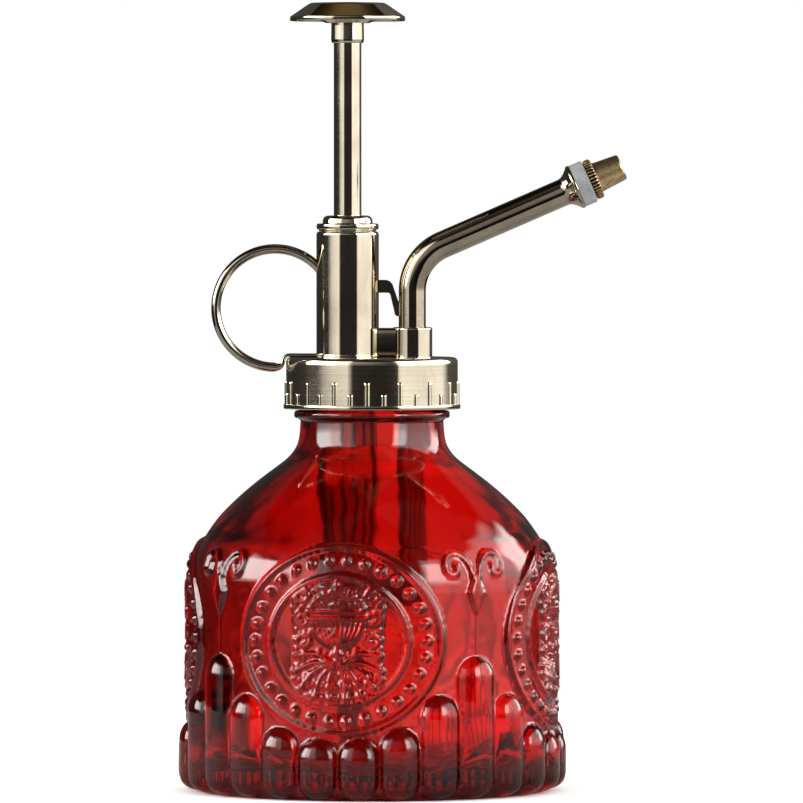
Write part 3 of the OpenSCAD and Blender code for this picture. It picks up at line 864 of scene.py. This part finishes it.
on_barrel("barrel_sleeve_shell", "head", "barrel_sleeve", 128, True, 5, [
    (SLEEVE_IN, DECK_Z), (BARREL_R + 0.12, DECK_Z), (BARREL_R + 0.12, DECK_Z + 0.3, 0.1),
    (BARREL_R, DECK_Z + 0.5), (BARREL_R, SLEEVE_TOP - 1.4), (BARREL_R, SLEEVE_TOP, 0.7),
    (SLEEVE_IN, SLEEVE_TOP)])
on_barrel("gland_nut", "head", "barrel_cap", 128, True, 6, [
    (2.95, 115.4), (5.2, 115.4), (5.2, 113.2), (SLEEVE_IN - 0.02, 113.2),
    (SLEEVE_IN - 0.02, 117.25), (6.05, 117.25, 0.1), (6.05, 117.55, 0.1), (6.5, 117.65, 0.3),
    (6.5, 118.8, 0.4), (5.25, 118.85, 0.12), (5.15, 120.5, 1.15), (3.05, 120.5, 0.12),
    (2.95, 119.9)])
on_barrel("rod_polished", "plunger", "plunger_rod", 96, False, 5, [
    (0, 104.2), (1.75, 104.2, 0.2), (1.75, 112.8), (ROD_R, 112.8, 0.25), (ROD_R, ROD_TOP),
    (0, ROD_TOP)])
on_barrel("rod_ferrule_collar", "plunger", "rod_ferrule", 96, True, 5, [
    (ROD_R - 0.02, 156.6), (3.3, 156.6, 0.25), (3.46, 157.3), (3.42, 160.3, 0.4), (3.42, 160.8),
    (ROD_R - 0.02, 160.8)])
on_barrel("thumb_button_disc", "plunger", "thumb_button", 160, False, 6, [
    (0, ROD_TOP), (ROD_R, ROD_TOP), (ROD_R, 160.8), (4.6, 160.8, 0.3), (5.9, 161.35, 0.6),
    (10.9, 161.35, 0.2), (11.2, 161.2, 0.2), (12.08, 161.2, 0.28), (12.08, 162.1, 0.45),
    (8.25, 164.72, 0.9), (7.6, 165.02, 0.8), (0, 165.2)])


# ---------------------------------------------------------------- spray pipe and nozzle

SPOUT_END, WASHER_END = 37.6, 40.5  # distances from the bend's corner


def pipe_shape():
    """Riser, bend, spout with a flared end, and the nipple for the washer and the nozzle."""
    foot = -ARC / 2 - (CORNER_Z - REACH - PIPE_FOOT)
    end = SPOUT_END + (ARC / 2 - REACH)
    out = [(PIPE_IN, foot), (PIPE_R, foot)]
    out += [(PIPE_R, s) for s in np.linspace(foot + 1, -ARC / 2, 6)]
    out += [(PIPE_R, s) for s in np.linspace(-ARC / 2, ARC / 2, 26)[1:]]
    out += [(PIPE_R, s) for s in np.linspace(ARC / 2, end - 3.2, 10)[1:]]
    out += [(2.92, end - 2.7), (3.15, end - 2.2), (3.6, end - 1.6), (4.15, end - 1.05),
            (4.55, end - 0.75), (4.73, end - 0.5), (4.75, end - 0.2), (4.66, end), (2.3, end),
            (2.3, end + 7.3), (2.1, end + 7.6), (1.3, end + 7.6), (1.3, end - 1),
            (PIPE_IN, end - 2)]
    out += [(PIPE_IN, s) for s in np.linspace(end - 2.5, ARC / 2, 5)]
    out += [(PIPE_IN, s) for s in np.linspace(ARC / 2, -ARC / 2, 26)[1:]]
    out += [(PIPE_IN, s) for s in np.linspace(-ARC / 2, foot + 1, 4)[1:]]
    return revolve(out, pipe_axis)


piece("spray_pipe", "head", SHADED_PLATE_ALONG_X, pipe_shape(), "nozzle_tube",
      sharp_deg=45)

piece("pipe_socket", "head", PLATE, join(
    revolve(rounded([(PIPE_R + 0.01, 91.0), (4.2, DECK_Z), (4.2, 97.1, 0.45),
                     (PIPE_R + 0.01, 97.1, 0.15)]), upright(RISER_X)),
    sweep([(x, 93.87) for x in (0.8, 2.0, 4.0, 5.3)],
          [[(-u, v) for u, v in oval(3.07, 2.5, 0.25, 40)]] * 4)), "nozzle_socket")

BRACE = [(0.85, 104.3), (3.45, 104.3), (3.8, 104.05), (4.8, 99.75), (5.1, 99.4), (6.05, 99.4),
         (6.05, 102.2), (5.75, 102.25), (5.5, 102.6), (4.6, 105.3), (4.3, 106.1), (3.8, 106.7),
         (3.1, 107.0), (0.85, 107.0)]
piece("hook_brace", "head", PLATE, plate(BRACE, -0.7, 0.7, 0.14), "brace",
      sharp_deg=25)

piece("nozzle_washer_ring", "head", NYLON, revolve(rounded([
    (2.3, SPOUT_END), (4.62, SPOUT_END, 0.2), (4.62, 39.2), (4.66, WASHER_END, 0.5),
    (2.3, WASHER_END)]), spout_axis), "nozzle_washer")


def nozzle_shape():
    """Knurled collar and tapered tip, with a countersunk orifice."""
    teeth, per = 36, 6
    angles = np.arange(teeth * per) * 2 * math.pi / (teeth * per)
    tooth = np.tile([0, 0, 0.1, 0.46, 0.48, 0.38], teeth)
    profile = rounded([(2.36, 40.55), (4.0, 40.55)], 4, False) + [
        (3.86, 40.6), (3.86, 40.68), (3.86, 41.2), (3.86, 41.84), (3.86, 41.96)]
    knurled = {3: 0.85, 4: 1.0, 5: 1.0, 6: 0.85}
    profile += rounded([
        (3.95, 42.05, 0.1), (3.22, 42.1, 0.15), (3.12, 43.0), (2.78, 47.6, 0.2),
        (2.5, 47.95, 0.15), (1.1, 47.95, 0.1), (0.32, 47.35), (0.32, 46.3), (2.36, 46.3)], 4)

    def extra(i, _):
        return tooth * knurled.get(i, 0)

    return revolve(profile, spout_axis, angles=angles, extra=extra)


def is_valley(co):
    """True for the points at the foot of the knurl's teeth."""
    origin, e1, e2 = spout_axis(0)
    away = np.array(co) / MM - origin
    along = away @ np.array([-e1[2], 0, e1[0]])
    return 40.6 < along < 42.0 and math.hypot(away @ e1, away @ e2) < 3.95


nozzle = piece("knurled_nozzle", "nozzle", BRASS, nozzle_shape(), "nozzle_cap",
               sharp_deg=32)
# marks the knurl's valleys, which the brass draws darker
mark(nozzle, "grime", [1.0 if is_valley(v.co) else 0.0 for v in nozzle.data.vertices])


# ---------------------------------------------------------------- finger ring


def ring_shape():
    """Flattened wire from the barrel round to a strip that steps over the cap's edge."""
    start, end, n = math.radians(40), math.radians(268), 84
    path = [(RING_X + RING_R * math.cos(a), RING_Z + RING_R * math.sin(a))
            for a in np.linspace(start, end, n)]
    sections = [oval(1.0, 1.7, 0.85)] * n
    tail = curve([path[-1], (-20.0, 88.72), (-19.35, 88.85), (-18.85, 89.25), (-18.62, 89.9),
                  (-18.45, 90.5), (-18.0, 91.0), (-17.3, 91.2), (-15.0, 91.2), (-13.0, 91.2),
                  (-11.2, 91.2)], 5)[1:]
    for k in range(len(tail)):
        f = min(1, k / 16)
        sections.append(oval(1.0 - 0.6 * f, 1.7 - 0.2 * f, 0.85 - 0.4 * f))
    return sweep(path + tail, sections)


piece("finger_ring_wire", "head", SHADED_PLATE_RING, ring_shape(), "finger_ring",
      sharp_deg=50)


# ---------------------------------------------------------------- return spring


def spring_shape():
    """Coil spring with its end turns closed up, between the valve block's spigot and the piston."""
    wire, mean, turns, steps, sides = 0.4, 3.75, 14, 24, 10
    gap, end_rise = 0.05, 0.85
    turn = np.arange(turns * steps + 1) / steps
    room = SPRING_TOP - SPRING_FOOT - 2 * wire - 2 * gap
    rise = np.interp(turn, [0, 1, turns - 1, turns], [0, end_rise, room - end_rise, room])
    verts = []
    for t, z in zip(turn * 2 * math.pi, rise + SPRING_FOOT + wire + gap):
        for b in np.arange(sides) * 2 * math.pi / sides:
            r = mean + wire * math.cos(b)
            verts.append([BARREL_X + r * math.cos(t), r * math.sin(t), z + wire * math.sin(b)])
    return np.array(verts), skin(len(turn), sides)


spring = piece("coil_spring", "head", SPRING, spring_shape(), "return_spring",
               sharp_deg=50)
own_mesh(spring)


# ---------------------------------------------------------------- carried-over CAD nodes

CAD_LOOKS = {
    "rim_gasket": NYLON, "rod_wiper": RUBBER, "pump_cylinder": PLATE_DULL, "cylinder_seal": RUBBER,
    "valve_block": NYLON, "inlet_ball": BALL, "inlet_cage": NYLON, "outlet_ball": BALL,
    "delivery_tube": PLATE_DULL, "dip_tube": NYLON, "swirl_core": NYLON, "piston": NYLON,
    "piston_seal": RUBBER, "piston_nut": BRASS,
}
for node, material in CAD_LOOKS.items():
    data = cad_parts[node].data
    data.materials.clear()
    data.materials.append(material)


# ---------------------------------------------------------------- studio


SHEEN_LIGHT, UPPER_LIGHT = (8.0, 7.9, 7.6, 1.0), (13.0, 12.8, 12.4, 1.0)
DIFFUSE_LIGHT, WHITE = (1.25, 1.25, 1.25, 1.0), (1.0, 1.0, 1.0, 1.0)


def studio_world():
    """White surroundings, with soft boxes and dark gaps for polished metal and glass to show."""
    world = bpy.data.worlds.new("studio")
    scene.world = world
    world.use_nodes = True
    world.node_tree.nodes.clear()
    sky = Nodes(world.node_tree)
    maths, mix = sky.maths, sky.mix

    def ramp(value, low, high, stops):
        """Brightness or colour from stops placed between low and high."""
        scaled = maths("DIVIDE", maths("SUBTRACT", value, float(low)), float(high - low))
        return sky.colours(scaled, [
            ((place - low) / (high - low), tone if isinstance(tone, tuple) else (tone,) * 3)
            for place, tone in stops])

    axes = sky.new("ShaderNodeSeparateXYZ")
    sky.feed(axes, 0, sky.new("ShaderNodeTexCoord").outputs["Generated"])
    x, y, z = axes.outputs
    azimuth = maths("DEGREES", maths("ARCTAN2", x, maths("MULTIPLY", y, -1.0)))
    height = maths("DEGREES", maths("ARCSINE", z))

    # what metal mirrors
    boxes = ramp(azimuth, -180, 180, [
        (-180, 0.03), (-150, 0.02), (-80, 0.02), (-76, 0.05), (-70, 0.20), (-57, 0.50),
        (-33, 0.66), (-27, 0.015), (34, 0.015), (38, 0.76), (112, 0.76), (122, 0.06),
        (150, 0.05), (180, 0.03)])
    tall = ramp(height, -90, 90, [
        (-90, 0.05), (-4, 0.10), (0, 0.27), (10, 0.29), (42, 0.40), (45.5, 0.012), (90, 0.012)])
    warm_top = ramp(height, -90, 90, [
        (-90, 0.0), (46, (0.012, 0.010, 0.007)), (62, (0.15, 0.105, 0.045)),
        (90, (0.24, 0.17, 0.08))])
    behind = ramp(azimuth, -180, 180, [
        (-180, 1.0), (-160, 0.9), (-148, 0.05), (148, 0.05), (160, 0.9), (180, 1.0)])
    upper_boxes = ramp(azimuth, -180, 180, [
        (-180, 0.0), (-101, 0.0), (-96, 0.9), (-74, 1.0), (-66, 0.62), (-55, 0.6), (-49, 0.04),
        (33, 0.0), (38, 0.62), (54, 0.62), (60, 0.08), (107, 0.08), (112, 0.55), (128, 0.55),
        (132, 0.0), (180, 0.0)])
    upper_band = ramp(height, -90, 90, [
        (-90, 0.0), (1.5, 0.0), (8, 1.0), (32, 1.0), (37, 0.0), (90, 0.0)])
    sheen = mix("MULTIPLY", mix("MULTIPLY", boxes, tall), SHEEN_LIGHT)
    upper = mix("MULTIPLY", mix("MULTIPLY", upper_boxes, upper_band), UPPER_LIGHT)
    ceiling = mix("MULTIPLY", warm_top, behind)
    mirrored = mix("ADD", mix("ADD", sheen, upper), ceiling)

    # what shows through the glass
    bands = ramp(maths("ABSOLUTE", azimuth), 0, 180, [
        (0, 0.5), (12, 0.5), (17, 0.04), (28, 0.04), (33, 0.5), (57, 0.5), (62, 0.04), (73, 0.04),
        (78, 0.55), (102, 0.55), (107, 0.04), (118, 0.04), (123, 0.55), (146, 0.55), (151, 0.04),
        (162, 0.04), (168, 0.80), (180, 0.80)])
    darker_left = ramp(azimuth, -180, 180, [
        (-180, 0.86), (-176.5, 0.58), (-171, 0.26), (-100, 0.22), (-60, 1.0), (174, 1.0),
        (180, 0.86)])
    darker_top = ramp(height, -90, 90, [
        (-90, 0.5), (-20, 0.8), (0, 1.0), (30, 1.0), (50, 0.3), (90, 0.1)])
    through = mix("MULTIPLY", mix("MULTIPLY", bands, darker_left), darker_top)

    path = sky.new("ShaderNodeLightPath").outputs
    colour = mix("MIX", mirrored, through, path["Is Transmission Ray"])
    colour = mix("MIX", colour, DIFFUSE_LIGHT, path["Is Diffuse Ray"])
    colour = mix("MIX", colour, WHITE, path["Is Camera Ray"])
    background = sky.new("ShaderNodeBackground")
    sky.feed(background, "Color", colour)
    sky.feed(sky.new("ShaderNodeOutputWorld"), "Surface", background.outputs[0])


def floor_disc():
    """A flat floor, with its rings closer together near the object."""
    radius, drop = 350, 0.02
    profile = [(share * radius, 0) for share in (0, 0.1, 0.4, 1)]
    verts, faces = revolve(profile, upright(0), 96, False)
    verts[:, 2] = -drop
    data = mesh("floor", (verts, faces), outwards=False)
    data.materials.append(floor_paper())
    obj = bpy.data.objects.new("floor", data)
    scene.collection.objects.link(obj)


studio_world()
floor_disc()
scene.view_settings.view_transform = "Standard"

# a long lens, 1.9 m away and looking down a little, as fitted to the photo
CAMERA_AT, LOOKS_DOWN, SENSOR_MM, LENS_MM = (0.00619, -1.898, 0.126), 1.343, 36.0, 406.0
camera = bpy.data.objects.new("camera", bpy.data.cameras.new("camera"))
scene.collection.objects.link(camera)
camera.location = CAMERA_AT
camera.rotation_euler = (math.radians(90 - LOOKS_DOWN), 0, 0)
camera.data.sensor_width, camera.data.lens = SENSOR_MM, LENS_MM
camera.data.clip_start, camera.data.clip_end = 0.05, 60.0
scene.camera = camera
